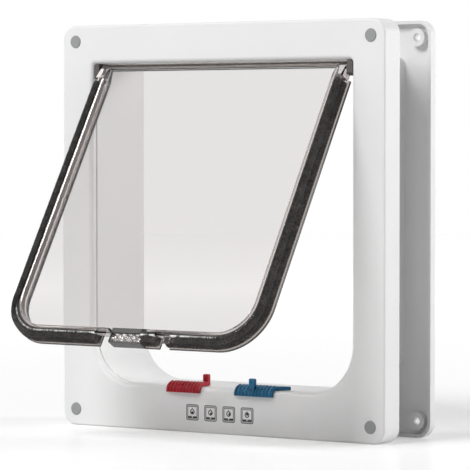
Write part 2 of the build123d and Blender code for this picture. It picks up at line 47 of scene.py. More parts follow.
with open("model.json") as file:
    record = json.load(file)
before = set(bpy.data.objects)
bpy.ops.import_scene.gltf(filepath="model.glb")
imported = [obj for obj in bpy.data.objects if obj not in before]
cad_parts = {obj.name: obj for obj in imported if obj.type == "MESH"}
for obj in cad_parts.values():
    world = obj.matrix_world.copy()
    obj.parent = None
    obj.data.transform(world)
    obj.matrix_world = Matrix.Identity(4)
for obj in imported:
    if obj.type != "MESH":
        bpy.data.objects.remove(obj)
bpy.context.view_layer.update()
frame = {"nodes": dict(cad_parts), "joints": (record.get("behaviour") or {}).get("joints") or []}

# Where the flap hangs, and the plane of the frame's front face
HINGE_JOINT = next(joint for joint in frame["joints"] if joint["name"] == "flap_hinge")
HINGE = Vector(HINGE_JOINT["pos_m"])
FRONT_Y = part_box("front_frame")[0].y
FLOOR_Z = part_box("front_frame")[0].z

# Tolerances of the mesh tools, the steps round an edge and how far large faces rule the shading
MERGE_DISTANCE = 1e-6
PLANE_TOLERANCE = 1e-5
FLAT_ANGLE = math.radians(0.5)
SHARP_ANGLE = math.radians(32.0)
EDGE_STEPS = 2
LARGE_FACE_WEIGHT = 100

# Colours that others are blended with, and how far the gloss drifts over a surface
WHITE = (1.0, 1.0, 1.0)
BLACK = (0.0, 0.0, 0.0)
GLOSS_DRIFT = 0.05

# The flap's finishes after the clear one, the last a painted highlight along the lip's outer edge, and the
# share by which a face may lie past the edge of its zone
CHANNEL, SMOKY, LIP_HIGHLIGHT = range(1, 4)
ZONE_SLACK = 0.1

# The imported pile: handles of its front's curve as shares of its swell, where the curve ends, and steps
BEAD_RISE = 1.7
BEAD_FALL = 1.1
BEAD_END = 0.6
BEAD_STEPS = 14
CORNER_STEPS = 14

# Share of the pile's swell that is left where the pile is held back
HELD_SHARE = 0.03

# Part of a corner over which the pile draws back from the lip, and the share already drawn back on the right
SETTLING_PART = 0.4
RIGHT_SHARE = 0.65

# Tufts, in shares of their pitch: width and place; in shares of their length: range, lean and bend
TUFT_WIDTH = 0.62
TUFT_SCATTER = (0.1, 0.9)
TUFT_LENGTHS = (0.65, 1.0)
TUFT_LEAN = 0.45
TUFT_BEND = 0.15

# The magnet's foil: cuts along a side, how steep its folds are, and how far forward its faces look at least
FOIL_CUTS = 47
FOLD_STEEPNESS = 4.0
FOIL_FACING = 0.3

# Rounding of the locks as a share of the usual one
LOCK_ROUNDING = 0.6


def metres(name, description, default):
    """A length that the user can change."""
    return FloatProperty(name=name, description=description, default=default, unit="LENGTH")


def tint(name, description, default):
    """A colour that the user can change."""
    return FloatVectorProperty(name=name, description=description, default=default, subtype="COLOR")


class CatFlapSizes(bpy.types.PropertyGroup):
    """Sizes of the modelled pieces."""

    open_angle: FloatProperty(
        name="Flap open",
        description="How far the flap is swung out towards the front",
        default=math.radians(31.0),
        subtype="ANGLE",
    )
    edge_bevel: metres("Edge rounding", "Rounding along the edges of moulded pieces", 0.0003)
    pile_depth: metres("Pile depth", "From the pile's backing to its tips", 0.0072)
    pile_corner: metres("Pile corner", "Radius of the pile's tips round the flap's lower corners", 0.0294)
    pile_swell: metres("Pile swell", "How far the pile swells forward in front of the channel's lip", 0.00125)
    bead_start: metres(
        "Bead start",
        "From the pile's backing to where the pile begins to cover the lip, down the left side",
        0.0004,
    )
    bead_rest: metres(
        "Bead start elsewhere",
        "From the pile's backing to where the pile begins to cover the lip, along the rest of the flap",
        0.0037,
    )
    lip_front: metres("Lip front", "From the flap's middle plane to the pile that lies on the lip", 0.00485)
    pile_gap: metres("Pile gap", "From the channel's floor to the pile's backing", 0.0001)
    stop_width: metres("Lock stop", "End of the right strip that lies behind the lock stop", 0.0056)
    end_taper: metres(
        "End taper", "Over what length the pile thins out at a strip's end or beside the lock stop", 0.003
    )
    lip_reach: metres("Lip reach", "From the pile's backing to the edge of the channel's front lip", 0.0027)
    # The pale line along the lip's outer edge is a painted highlight.
    lip_highlight_width: metres("Lip line", "Width of the pale line along the lip's outer edge", 0.0010)
    tuft_length: metres("Tuft length", "Loose end of each tuft above the packed pile", 0.0009)
    tuft_pitch: metres("Tuft pitch", "Distance from one tuft to the next", 0.00042)
    tip_round: metres("Tip round", "How far the packed pile falls back along its two edges", 0.0020)
    tuft_seed: IntProperty(name="Tuft seed", description="Seed of the pile's disorder", default=7)
    crease_pitch: metres(
        "Crease pitch", "From one fold in the magnet's foil to the next, up the foil", 0.0042
    )
    crease_slope: FloatProperty(
        name="Crease slope", description="How far a fold rises as it goes along the foil", default=0.85
    )
    crease_depth: metres("Crease depth", "Depth of the folds in the magnet's foil", 0.0006)
    # Painted shade: the magnet's upper corners get the dark body finish in place of the bright face.
    magnet_corner_shade: metres(
        "Bare corner", "Width of the magnet's upper corners that the foil leaves bare", 0.0022
    )
    web_thickness: metres("Web", "Thickness of the channel's floor, between the sheet and the pile", 0.0016)
    rim_reach: metres(
        "Rim reach", "From the pile's backing to the flap's outer edge, behind the pile", 0.0068
    )
    pocket_wall: metres("Pocket wall", "Beside the flap's magnet", 0.0013)
    pocket_roof: metres("Pocket roof", "Above the flap's magnet", 0.0037)
    symbol_width: metres("Symbol width", "Width of a printed symbol's frame", 0.0094)
    symbol_height: metres("Symbol height", "Height of a printed symbol's frame", 0.0098)
    symbol_pitch: metres("Symbol pitch", "Distance from one symbol to the next", 0.01363)
    symbol_middle: FloatVectorProperty(
        name="Symbol row",
        description="Middle of the row: sideways from the frame's middle, and up from its lower edge",
        default=(0.00105, 0.0123),
        size=2,
        unit="LENGTH",
    )


class CatFlapColours(bpy.types.PropertyGroup):
    """Colours of the finishes."""

    white: tint("White plastic", "Moulded frames", (0.80, 0.80, 0.80))
    grey: tint("Grey plastic", "Screw plugs", (0.285, 0.29, 0.295))
    smoke: tint("Smoky plastic", "Hinge brackets", (0.085, 0.076, 0.072))
    clear: tint("Clear plastic", "The flap's sheet", (0.775, 0.757, 0.748))
    pile: tint("Pile", "Dark pile round the flap", (0.075, 0.069, 0.066))
    backing: tint("Pile backing", "Pale strip that the pile grows from", (0.80, 0.79, 0.78))
    channel: tint("Smoky channel", "Thick edge of the flap that holds the pile", (0.42, 0.38, 0.36))
    # Painted highlight: a bright line along the outer edge of the channel's front lip.
    lip_highlight: tint(
        "Lip edge", "Bright line along the outer edge of the channel's front lip", (0.84, 0.82, 0.81)
    )
    pocket: tint("Magnet pocket", "Smoky walls round the flap's magnet", (0.045, 0.044, 0.043))
    foil: tint("Magnet face", "Bright face of the flap's magnet", (0.60, 0.595, 0.59))
    steel: tint("Steel", "Hinge rod", (0.56, 0.55, 0.54))
    red: tint("Red plastic", "Left lock", (0.36, 0.006, 0.016))
    blue: tint("Blue plastic", "Right lock", (0.009, 0.115, 0.235))
    print_dark: tint("Print", "Printed symbols", (0.03, 0.03, 0.03))
    print_grey: tint("Print grey", "Frames of the printed symbols", (0.42, 0.42, 0.42))


class CatFlapStage(bpy.types.PropertyGroup):
    """Camera and light."""

    camera_place: FloatVectorProperty(
        name="Camera",
        description="Where the camera stands",
        default=(1.1003, -1.5398, 0.0538),
        subtype="TRANSLATION",
    )
    camera_aim: FloatVectorProperty(
        name="Aim",
        description="Direction in which the camera looks",
        default=(-0.58073, 0.81352, -0.03071),
        subtype="DIRECTION",
    )
    camera_lens: FloatProperty(
        name="Lens", description="Focal length on a sensor 36 mm wide", default=237.49, unit="CAMERA"
    )
    sky_light: FloatProperty(name="Sky", description="Strength of the light from all round", default=0.21)
    key_light: FloatProperty(
        name="Key lamp", description="Power of the soft lamp in front", default=60.0, subtype="POWER"
    )
    floor_glow: FloatProperty(
        name="Floor glow",
        description="What the floor adds for the eye near the object, before it meets the white behind it",
        default=0.33,
    )
    floor_mirror: FloatProperty(
        name="Floor mirror",
        description="Share of the floor that mirrors the object",
        default=0.14,
        subtype="FACTOR",
    )
    rim_light: FloatProperty(
        name="Rim lamp", description="Power of the lamp behind, to the right", default=18.0, subtype="POWER"
    )


# Mesh tools


def deselect():
    """Leave nothing selected."""
    bpy.ops.object.select_all(action="DESELECT")


def pick(piece):
    """Make one object the only one selected and active."""
    deselect()
    piece.select_set(True)
    bpy.context.view_layer.objects.active = piece


def edit_all(piece):
    """Open a piece in edit mode with all of it selected."""
    pick(piece)
    bpy.ops.object.mode_set(mode="EDIT")
    bpy.ops.mesh.select_all(action="SELECT")


def close_edit():
    """Go back to object mode."""
    bpy.ops.object.mode_set(mode="OBJECT")


def named(name):
    """The primitive just added, under its own name, with its place moved into its mesh."""
    piece = bpy.context.object
    piece.name = name
    piece.data.name = name
    bpy.ops.object.transform_apply(location=True, rotation=True, scale=True)
    return piece


def outward(piece):
    """Merge a piece's doubles and turn its faces outwards."""
    edit_all(piece)
    bpy.ops.mesh.remove_doubles(threshold=MERGE_DISTANCE)
    bpy.ops.mesh.normals_make_consistent(inside=False)
    close_edit()


def smooth(piece):
    """Shade round faces smooth, keep sharp edges and let the large faces rule the shading."""
    pick(piece)
    bpy.ops.object.shade_smooth_by_angle(angle=SHARP_ANGLE)
    modifier = piece.modifiers.new("Even shading", "WEIGHTED_NORMAL")
    modifier.weight = LARGE_FACE_WEIGHT
    modifier.keep_sharp = True
    apply_modifier(piece, modifier)


def apply_modifier(piece, modifier):
    """Make a modifier's result the piece's own mesh."""
    pick(piece)
    bpy.ops.object.modifier_apply(modifier=modifier.name)


def round_edges(piece, width):
    """Round a piece's sharp edges."""
    modifier = piece.modifiers.new("Edge rounding", "BEVEL")
    modifier.width = width
    modifier.segments = EDGE_STEPS
    modifier.limit_method = "ANGLE"
    modifier.angle_limit = SHARP_ANGLE
    modifier.use_clamp_overlap = False
    apply_modifier(piece, modifier)


def merged_copy(node, name):
    """New piece with a node's shape, its triangles merged into whole faces."""
    piece = bpy.data.objects.new(name, frame["nodes"][node].data.copy())
    bpy.context.scene.collection.objects.link(piece)
    piece.data.name = name
    piece.data.materials.clear()
    pick(piece)
    bpy.ops.mesh.customdata_custom_splitnormals_clear()
    edit_all(piece)
    bpy.ops.mesh.remove_doubles(threshold=MERGE_DISTANCE)
    bpy.ops.mesh.dissolve_limited(angle_limit=FLAT_ANGLE)
    close_edit()
    return piece


def join(pieces, name):
    """Join several pieces into one."""
    deselect()
    for piece in pieces:
        piece.select_set(True)
    bpy.context.view_layer.objects.active = pieces[0]
    bpy.ops.object.join()
    pieces[0].name = name
    return pieces[0]


def finish_with(piece, *materials):
    """Give a piece its materials."""
    piece.data.materials.clear()
    for material in materials:
        piece.data.materials.append(material)


def finish_node(node, material):
    """Give a node of the frame its finish."""
    finish_with(frame["nodes"][node], material)


# The flap's own frame: X across, Y through its thickness, Z up from the hinge, with the flap shut


def open_matrix(sizes):
    """Place of the flap's own frame when the flap hangs open."""
    return Matrix.Translation(HINGE) @ Matrix.Rotation(-sizes.open_angle, 4, "X")


def swing_open(piece, sizes):
    """Swing a piece from the flap's own frame to where the flap hangs."""
    piece.data.transform(open_matrix(sizes))
    piece.data.update()


def flap_box(node, sizes):
    """Lowest and highest corner of a node in the flap's own frame."""
    inverse = open_matrix(sizes).inverted()
    points = [inverse @ vertex.co for vertex in frame["nodes"][node].data.vertices]
    low = Vector([min(point[axis] for point in points) for axis in range(3)])
    high = Vector([max(point[axis] for point in points) for axis in range(3)])
    return low, high


# Material tools


def fill(tree, node, values):
    """Give a shader node's inputs their values, which are plain ones or outputs of other nodes."""
    for name, value in values.items():
        if isinstance(value, bpy.types.NodeSocket):
            tree.links.new(value, node.inputs[name])
        else:
            node.inputs[name].default_value = value


def add_node(tree, kind, values, **settings):
    """New shader node with its settings and the values of its inputs."""
    node = tree.nodes.new(kind)
    for name, value in settings.items():
        setattr(node, name, value)
    fill(tree, node, values)
    return node


def blank_material(name):
    """New material, its node tree and its main shader."""
    material = bpy.data.materials.new(name)
    material.use_nodes = True
    return material, material.node_tree, material.node_tree.nodes["Principled BSDF"]


def place_vector(tree, stretch=(1.0, 1.0, 1.0), attribute=None):
    """Object coordinates, or a named attribute, stretched along the axes."""
    if attribute:
        place = add_node(tree, "ShaderNodeAttribute", {}, attribute_name=attribute).outputs["Vector"]
    else:
        place = tree.nodes.new("ShaderNodeTexCoord").outputs["Object"]
    return add_node(tree, "ShaderNodeMapping", {"Vector": place, "Scale": stretch}).outputs["Vector"]


def noise(tree, scale, detail=2.0, stretch=(1.0, 1.0, 1.0), attribute=None):
    """Noise of so many cells a metre."""
    values = {"Vector": place_vector(tree, stretch, attribute), "Scale": scale, "Detail": detail}
    return add_node(tree, "ShaderNodeTexNoise", values).outputs["Fac"]


def spread(tree, value, low=0.0, high=1.0, from_low=0.3, from_high=0.7):
    """A value spread over a new range."""
    values = {"Value": value, "From Min": from_low, "From Max": from_high, "To Min": low, "To Max": high}
    return add_node(tree, "ShaderNodeMapRange", values).outputs["Result"]


def blend_colours(tree, value, first, second):
    """Colour between two, by a value."""
    values = {"Factor": value, "A": (*first, 1.0), "B": (*second, 1.0)}
    return add_node(tree, "ShaderNodeMix", values, data_type="RGBA").outputs["Result"]


def multiply_colours(tree, first, second):
    """Product of two colours."""
    values = {"Factor": 1.0, "A": first, "B": second}
    product = add_node(tree, "ShaderNodeMix", values, data_type="RGBA", blend_type="MULTIPLY")
    return product.outputs["Result"]


def shade(colour, amount):
    """A colour made lighter or darker."""
    return [min(1.0, channel * amount) for channel in colour]


def uneven(tree, value, colour, darkest, lightest, from_low=0.3, from_high=0.7):
    """A colour that goes from darker to lighter by a value."""
    share = spread(tree, value, from_low=from_low, from_high=from_high)
    return blend_colours(tree, share, shade(colour, darkest), shade(colour, lightest))


def emboss(tree, shader, height, distance, strength):
    """Fine relief on a surface."""
    relief = add_node(tree, "ShaderNodeBump", {"Height": height, "Distance": distance, "Strength": strength})
    fill(tree, shader, {"Normal": relief.outputs["Normal"]})


def shaded_grooves(tree, colour, width):
    """A colour with painted shade, darker in grooves of a width."""
    painted_groove_shade = add_node(tree, "ShaderNodeAmbientOcclusion", {"Distance": width}, samples=8)
    return multiply_colours(tree, colour, blend_colours(tree, painted_groove_shade.outputs["AO"], BLACK, WHITE))


def moulded_plastic(name, colour, roughness, grain, variation=0.03, shine=0.5, groove_shade_width=0.0):
    """Opaque moulded plastic with a fine grain and faint unevenness of colour and gloss, and painted shade in
    its grooves when a groove shade width is given.
    """
    material, tree, shader = blank_material(name)
    tone = uneven(tree, noise(tree, scale=35.0, detail=3.0), colour, 1.0 - variation, 1.0 + variation)
    if groove_shade_width > 0:
        tone = shaded_grooves(tree, tone, groove_shade_width)
    drift = noise(tree, scale=160.0, detail=4.0)
    gloss = spread(tree, drift, roughness - GLOSS_DRIFT, roughness + GLOSS_DRIFT)
    fill(tree, shader, {"Base Color": tone, "Roughness": gloss, "IOR": 1.5, "Specular IOR Level": shine})
    emboss(tree, shader, noise(tree, scale=grain), distance=0.00004, strength=0.25)
    return material


def clear_plastic(name, colour, haze):
    """Polished plastic that light passes through, with faint smears."""
    material, tree, shader = blank_material(name)
    smears = noise(tree, scale=60.0, detail=5.0, stretch=(1.0, 1.0, 0.25))
    gloss = spread(tree, smears, haze, haze + GLOSS_DRIFT, from_low=0.5, from_high=0.8)
    fill(tree, shader, {"Base Color": (*colour, 1.0), "Roughness": gloss})
    fill(tree, shader, {"IOR": 1.49, "Transmission Weight": 1.0})
    emboss(tree, shader, noise(tree, scale=22.0, detail=1.0), distance=0.0004, strength=0.04)
    return material


def pile_fibre(colours, sizes):
    """Dark pile, streaked along its fibres, patchy, with painted shade that darkens it near the lip and fades
    out towards its tips.
    """
    material, tree, shader = blank_material("pile")
    streak = noise(tree, scale=1500.0, stretch=(1.0, 0.25, 1.0), attribute="pile_place")
    patch = noise(tree, scale=190.0, detail=3.0, stretch=(1.0, 0.5, 1.0), attribute="pile_place")
    streaked = uneven(tree, streak, colours.pile, 0.8, 4.2, from_low=0.35, from_high=0.75)
    patchy = blend_colours(tree, spread(tree, patch), (0.5, 0.48, 0.46), WHITE)
    place = add_node(tree, "ShaderNodeSeparateXYZ", {"Vector": place_vector(tree, attribute="pile_place")})
    # Painted shade: darker near the lip, fading out towards the pile's tips.
    height = spread(tree, place.outputs["Y"], from_low=sizes.lip_reach, from_high=sizes.pile_depth)
    painted_lip_shade = blend_colours(tree, height, (0.45, 0.45, 0.45), WHITE)
    tone = multiply_colours(tree, multiply_colours(tree, streaked, patchy), painted_lip_shade)
    fill(tree, shader, {"Base Color": tone, "Roughness": 0.85, "Specular IOR Level": 0.1})
    fill(tree, shader, {"Sheen Weight": 0.5, "Sheen Roughness": 0.45})
    emboss(tree, shader, streak, distance=0.0003, strength=0.5)
    return material


def pale_backing(colours):
    """Woven pale strip under the pile."""
    material, tree, shader = blank_material("pile_backing")
    weave = noise(tree, scale=1300.0, detail=1.0, attribute="pile_place")
    fill(tree, shader, {"Base Color": uneven(tree, weave, colours.backing, 0.8, 1.15), "Roughness": 0.7})
    emboss(tree, shader, weave, distance=0.0001, strength=0.4)
    return material


def crumpled_foil(colours):
    """Bright plated face with fine crossed creases."""
    material, tree, shader = blank_material("magnet_foil")
    creases = noise(tree, scale=420.0, stretch=(1.0, 1.0, 0.6))
    tone = uneven(tree, creases, colours.foil, 0.72, 1.08)
    gloss = spread(tree, noise(tree, scale=700.0, detail=3.0), low=0.18, high=0.40)
    fill(tree, shader, {"Base Color": tone, "Metallic": 1.0, "Roughness": gloss})
    emboss(tree, shader, creases, distance=0.0004, strength=0.2)
    return material


def ferrite(name, lightness):
    """Dull dark sintered magnet with a faint blue cast."""
    colour = (lightness, lightness, lightness * 1.03)
    return moulded_plastic(name, colour, roughness=0.6, grain=2600.0, variation=0.12)


def drawn_steel(colours):
    """Steel rod with fine lines along it."""
    material, tree, shader = blank_material("drawn_steel")
    lines = noise(tree, scale=2600.0, stretch=(0.02, 1.0, 1.0))
    tone = uneven(tree, lines, colours.steel, 0.85, 1.1)
    gloss = spread(tree, lines, low=0.22, high=0.36)
    fill(tree, shader, {"Base Color": tone, "Metallic": 1.0, "Roughness": gloss})
    emboss(tree, shader, lines, distance=0.00005, strength=0.3)
    return material


# Pieces


class CATFLAP_OT_frames(bpy.types.Operator):
    """Finish the two white frames, the magnet's retainer and the screw plugs"""

    bl_idname = "catflap.frames"
    bl_label = "Frames and plugs"

    def execute(self, context):
        colours = context.scene.catflap_colours
        white = moulded_plastic("white_plastic", colours.white, roughness=0.42, grain=2400.0, variation=0.012)
        grey = moulded_plastic("grey_plastic", colours.grey, roughness=0.5, grain=3000.0)
        for node in ("front_frame", "rear_frame", "magnet_retainer"):
            finish_node(node, white)
        for corner in ("top_left", "top_right", "bottom_left", "bottom_right"):
            finish_node("screw_cap_" + corner, grey)
        return {"FINISHED"}


class CATFLAP_OT_hinge(bpy.types.Operator):
    """Round the hinge brackets and finish them and the rod"""

    bl_idname = "catflap.hinge"
    bl_label = "Hinge"

    def execute(self, context):
        sizes = context.scene.catflap_sizes
        colours = context.scene.catflap_colours
        smoke = moulded_plastic("smoky_plastic", colours.smoke, roughness=0.22, grain=1800.0, variation=0.15)
        for side in ("left", "right"):
            node = "hinge_bracket_" + side
            bracket = merged_copy(node, "bracket_" + side)
            round_edges(bracket, sizes.edge_bevel)
            smooth(bracket)
            finish_with(bracket, smoke)
            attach(bracket, "front")
            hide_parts(node)
        finish_node("hinge_rod", drawn_steel(colours))
        return {"FINISHED"}


class PileRoute:
    """Line of a pile strip's backing in the flap's frame: down a side, round a corner, along the bottom."""

    def __init__(self, node, sizes):
        self.low, self.high = flap_box(node, sizes)
        self.depth = sizes.pile_depth
        self.radius = sizes.pile_corner - sizes.pile_depth
        self.bottom = self.low.z + sizes.pile_depth
        self.half_thickness = self.high.y
        reach = max(abs(self.low.x), abs(self.high.x))
        self.has_corner = self.high.z > self.low.z + sizes.pile_corner
        self.side = -1.0 if abs(self.low.x) > abs(self.high.x) else 1.0
        self.corner_x = self.side * (reach - sizes.pile_corner) if self.has_corner else self.high.x
        self.corner_z = self.bottom + self.radius
        self.leg = self.high.z - self.corner_z if self.has_corner else 0.0
        self.arc = self.radius * math.pi / 2 if self.has_corner else 0.0
        end = self.high.x if self.side < 0 else self.low.x
        self.run = abs(self.corner_x - end)
        self.length = self.leg + self.arc + self.run
        self.held = sizes.stop_width if self.has_corner and self.side > 0 else 0.0

    def place(self, distance, depth, across):
        """Point at a distance along the backing, a depth out from it and a step across the thickness."""
        if distance < self.leg:
            x = self.corner_x + self.side * (self.radius + depth)
            return Vector((x, across, self.high.z - distance))
        if distance < self.leg + self.arc:
            angle = (distance - self.leg) / self.radius
            reach = self.radius + depth
            x = self.corner_x + self.side * reach * math.cos(angle)
            return Vector((x, across, self.corner_z - reach * math.sin(angle)))
        along = distance - self.leg - self.arc
        return Vector((self.corner_x - self.side * along, across, self.bottom - depth))

    def measure(self, point):
        """Distance, depth and step across of a point in the flap's own frame."""
        x = (point.x - self.corner_x) * self.side
        if self.has_corner and point.z > self.corner_z:
            return (self.high.z - point.z, x - self.radius, point.y)
        if self.has_corner and x > 0:
            drop = self.corner_z - point.z
            angle = math.atan2(drop, x)
            return (self.leg + angle * self.radius, math.hypot(drop, x) - self.radius, point.y)
        return (self.leg + self.arc - x, self.bottom - point.z, point.y)


def channel_depth(place, route):
    """How far a place in the flap's own frame lies out from the channel's floor, on either side."""
    return route.measure(Vector((abs(place.x) * route.side, place.y, place.z)))[1]


def mark_lip_highlight(flap, sizes):
    """Cut a narrow strip along the edges of the lip's front face, so that it can carry a painted highlight of
    its own.
    """
    front = flap_box("flap_panel", sizes)[0].y
    inverse = open_matrix(sizes).inverted()
    heights = [(inverse @ vertex.co).y for vertex in flap.data.vertices]
    edit_all(flap)
    bpy.ops.mesh.select_mode(type="FACE")
    bpy.ops.mesh.select_all(action="DESELECT")
    close_edit()
    for face in flap.data.polygons:
        face.select = max(heights[index] for index in face.vertices) < front + PLANE_TOLERANCE
    bpy.ops.object.mode_set(mode="EDIT")
    bpy.ops.mesh.inset(thickness=sizes.lip_highlight_width)
    bpy.ops.mesh.select_mode(type="VERT")
    close_edit()


def on_lip_highlight(corners, depths, sizes, route):
    """Whether a face of the flap lies along the lip's outer edge, apart from the right side, where the
    painted highlight goes.
    """
    past_line = min(depths) > sizes.lip_reach - sizes.lip_highlight_width - sizes.edge_bevel
    within_lip = max(depths) < sizes.lip_reach
    in_front = max(corner.y for corner in corners) < -route.half_thickness
    left_of_corner = min(corner.x for corner in corners) < -route.corner_x
    return past_line and within_lip and in_front and left_of_corner


def finish_zones(flap, sizes):
    """Give the flap's channel, its smoky pocket and outer rim their finishes, and the edge of its lip a
    painted highlight.
    """
    magnet = flap_box("flap_magnet", sizes)[1]
    pocket_side = magnet.x + sizes.pocket_wall
    pocket_top = magnet.z + sizes.pocket_roof
    rim = sizes.rim_reach - sizes.edge_bevel * (1 + ZONE_SLACK)
    web = sizes.web_thickness
    route = PileRoute("pile_strip_left", sizes)
    inverse = open_matrix(sizes).inverted()
    places = [inverse @ vertex.co for vertex in flap.data.vertices]
    for face in flap.data.polygons:
        corners = [places[index] for index in face.vertices]
        depths = [channel_depth(corner, route) for corner in corners]
        across = max(abs(corner.x) for corner in corners) < pocket_side
        in_pocket = across and max(corner.z for corner in corners) < pocket_top
        if in_pocket or min(depths) > rim:
            face.material_index = SMOKY
        # Faces along the lip's outer edge take the painted highlight.
        elif on_lip_highlight(corners, depths, sizes, route):
            face.material_index = LIP_HIGHLIGHT
        elif min(depths) > -web * (1 + ZONE_SLACK) and max(depths) > -web * (1 - ZONE_SLACK):
            face.material_index = CHANNEL


class CATFLAP_OT_flap(bpy.types.Operator):
    """Round the edges of the clear flap and of the cover over its magnet"""

    bl_idname = "catflap.flap"
    bl_label = "Clear flap"

    def execute(self, context):
        sizes = context.scene.catflap_sizes
        colours = context.scene.catflap_colours
        clear = clear_plastic("clear_plastic", colours.clear, haze=0.0)
        channel = clear_plastic("smoky_channel", colours.channel, haze=0.06)
        smoky = moulded_plastic("smoky_pocket", colours.pocket, roughness=0.35, grain=1800.0, variation=0.15)
        # Pale material that paints a highlight along the lip's outer edge.
        edge = moulded_plastic("lip_highlight", colours.lip_highlight, roughness=0.25, grain=1800.0)
        for node, name in (("flap_panel", "clear_flap"), ("magnet_cover", "clear_cover")):
            piece = merged_copy(node, name)
            if node == "flap_panel":
                mark_lip_highlight(piece, sizes)
            round_edges(piece, sizes.edge_bevel)
            smooth(piece)
            finish_with(piece, clear, channel, smoky, edge)
            if node == "flap_panel":
                finish_zones(piece, sizes)
            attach(piece, "flap")
            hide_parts(node)
        return {"FINISHED"}


def bead_front(route, sizes):
    """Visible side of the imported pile's section: from the lip over the front and round the tips."""
    tip = route.depth - sizes.tuft_length
    swell = sizes.pile_swell
    back = route.half_thickness - sizes.tip_round
    bead = interpolate_bezier(
        Vector((sizes.bead_start, -sizes.lip_front)),
        Vector((sizes.bead_start, -sizes.lip_front - BEAD_RISE * swell)),
        Vector((tip - swell, -sizes.lip_front - BEAD_FALL * swell)),
        Vector((tip, -back * BEAD_END)),
        BEAD_STEPS,
    )
    return bead + [Vector((tip, back)), Vector((tip - sizes.tip_round, route.half_thickness))]


def bead_section(route, sizes):
    """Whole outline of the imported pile's section, as depth and step across."""
    half = route.half_thickness
    behind_lip = [
        Vector((sizes.pile_gap, -half)),
        Vector((sizes.lip_reach, -half)),
        Vector((sizes.lip_reach, -sizes.lip_front + sizes.pile_gap)),
    ]
    return behind_lip + bead_front(route, sizes) + [Vector((sizes.pile_gap, half))]


def settled(route, sizes, distance, depth, across):
    """Depth of a point once the pile has drawn back from the lip, which it covers most on the left."""
    behind = depth < sizes.lip_reach + MERGE_DISTANCE and across > -sizes.lip_front + MERGE_DISTANCE
    if behind or across > -route.half_thickness:
        return depth
    share = 1.0
    if route.has_corner:
        share = min(max((distance - route.leg) / (route.arc * SETTLING_PART), 0.0), 1.0)
    if route.has_corner and route.side > 0:
        share = RIGHT_SHARE + (1.0 - RIGHT_SHARE) * share
    tip = route.depth
    start = sizes.bead_start + (sizes.bead_rest - sizes.bead_start) * share
    return tip - (tip - depth) * (tip - start) / (tip - sizes.bead_start)


def pressed(route, sizes, distance, depth, across):
    """Depth and step across of a point, as the pile thins out at a strip's ends and behind the lock stop."""
    half = route.half_thickness
    depth = settled(route, sizes, distance, depth, across)
    if across > -half:
        return depth, across
    free = (route.length - route.held - distance) / sizes.end_taper
    if not route.has_corner:
        free = min(free, distance / sizes.end_taper)
    free = min(max(free, HELD_SHARE), 1.0)
    if depth < sizes.lip_reach:
        depth = sizes.lip_reach + (depth - sizes.lip_reach) * free
    return depth, -half + (across + half) * free


def run_stretches(route, sizes):
    """Lengths into which a strip's run along the bottom is cut, so that its ends can thin out."""
    taper = sizes.end_taper
    if not route.has_corner:
        return [taper, route.run - 2 * taper, taper]
    stretches = [route.run - taper - route.held, taper]
    if route.held > 0:
        stretches.append(route.held)
    return stretches


def pile_core(route, sizes, name):
    """Packed pile: its section drawn down the side, spun round the corner and drawn along the bottom."""
    outline = bead_section(route, sizes)
    bpy.ops.mesh.primitive_circle_add(vertices=len(outline), radius=1.0, fill_type="NGON")
    core = named(name)
    for vertex, point in zip(core.data.vertices, outline):
        vertex.co = route.place(0.0, point.x, point.y)
    edit_all(core)
    if route.has_corner:
        move = {"value": (0.0, 0.0, -route.leg)}
        bpy.ops.mesh.extrude_region_move(TRANSFORM_OT_translate=move)
        bpy.ops.mesh.spin(
            steps=CORNER_STEPS,
            angle=route.side * math.pi / 2,
            center=(route.corner_x, 0.0, route.corner_z),
            axis=(0.0, -1.0, 0.0),
        )
    for length in run_stretches(route, sizes):
        move = {"value": (-route.side * length, 0.0, 0.0)}
        bpy.ops.mesh.extrude_region_move(TRANSFORM_OT_translate=move)
    close_edit()
    for vertex in core.data.vertices:
        distance, depth, across = route.measure(vertex.co)
        vertex.co = route.place(distance, *pressed(route, sizes, distance, depth, across))
    outward(core)
    pick(core)
    bpy.ops.object.shade_smooth_by_angle(angle=SHARP_ANGLE)
    return core


def tuft_roots(path, pitch):
    """Places at even steps along the section's visible side, each with the way out of the pile there."""
    roots = []
    for first, second in zip(path, path[1:]):
        step = second - first
        out = Vector((step.y, -step.x)).normalized()
        count = max(1, round(step.length / pitch))
        roots += [(first + step * (index + 0.5) / count, out) for index in range(count)]
    return roots


def tuft_points(route, sizes, root, out, distance, draws):
    """The three feet and the tip of one loose tuft, at a distance along the pile."""
    width = sizes.tuft_pitch * TUFT_WIDTH
    length = sizes.tuft_length * draws.uniform(*TUFT_LENGTHS)
    tip_distance = distance + draws.uniform(-TUFT_LEAN, TUFT_LEAN) * length
    bend = draws.uniform(-TUFT_BEND, TUFT_BEND) * length
    turn = draws.uniform(0.0, 2 * math.pi)
    ends = []
    for corner in range(3):
        angle = turn + corner * 2 * math.pi / 3
        side = Vector((-out.y, out.x)) * width * math.sin(angle)
        ends.append((distance + width * math.cos(angle), root - out * sizes.pile_gap + side))
    tip = root + out * length + Vector((0.0, bend))
    tip.y = min(tip.y, route.half_thickness)
    ends.append((tip_distance, tip))
    points = []
    for along, end in ends:
        along = min(max(along, 0.0), route.length)
        points.append(route.place(along, *pressed(route, sizes, along, *end)))
    return points


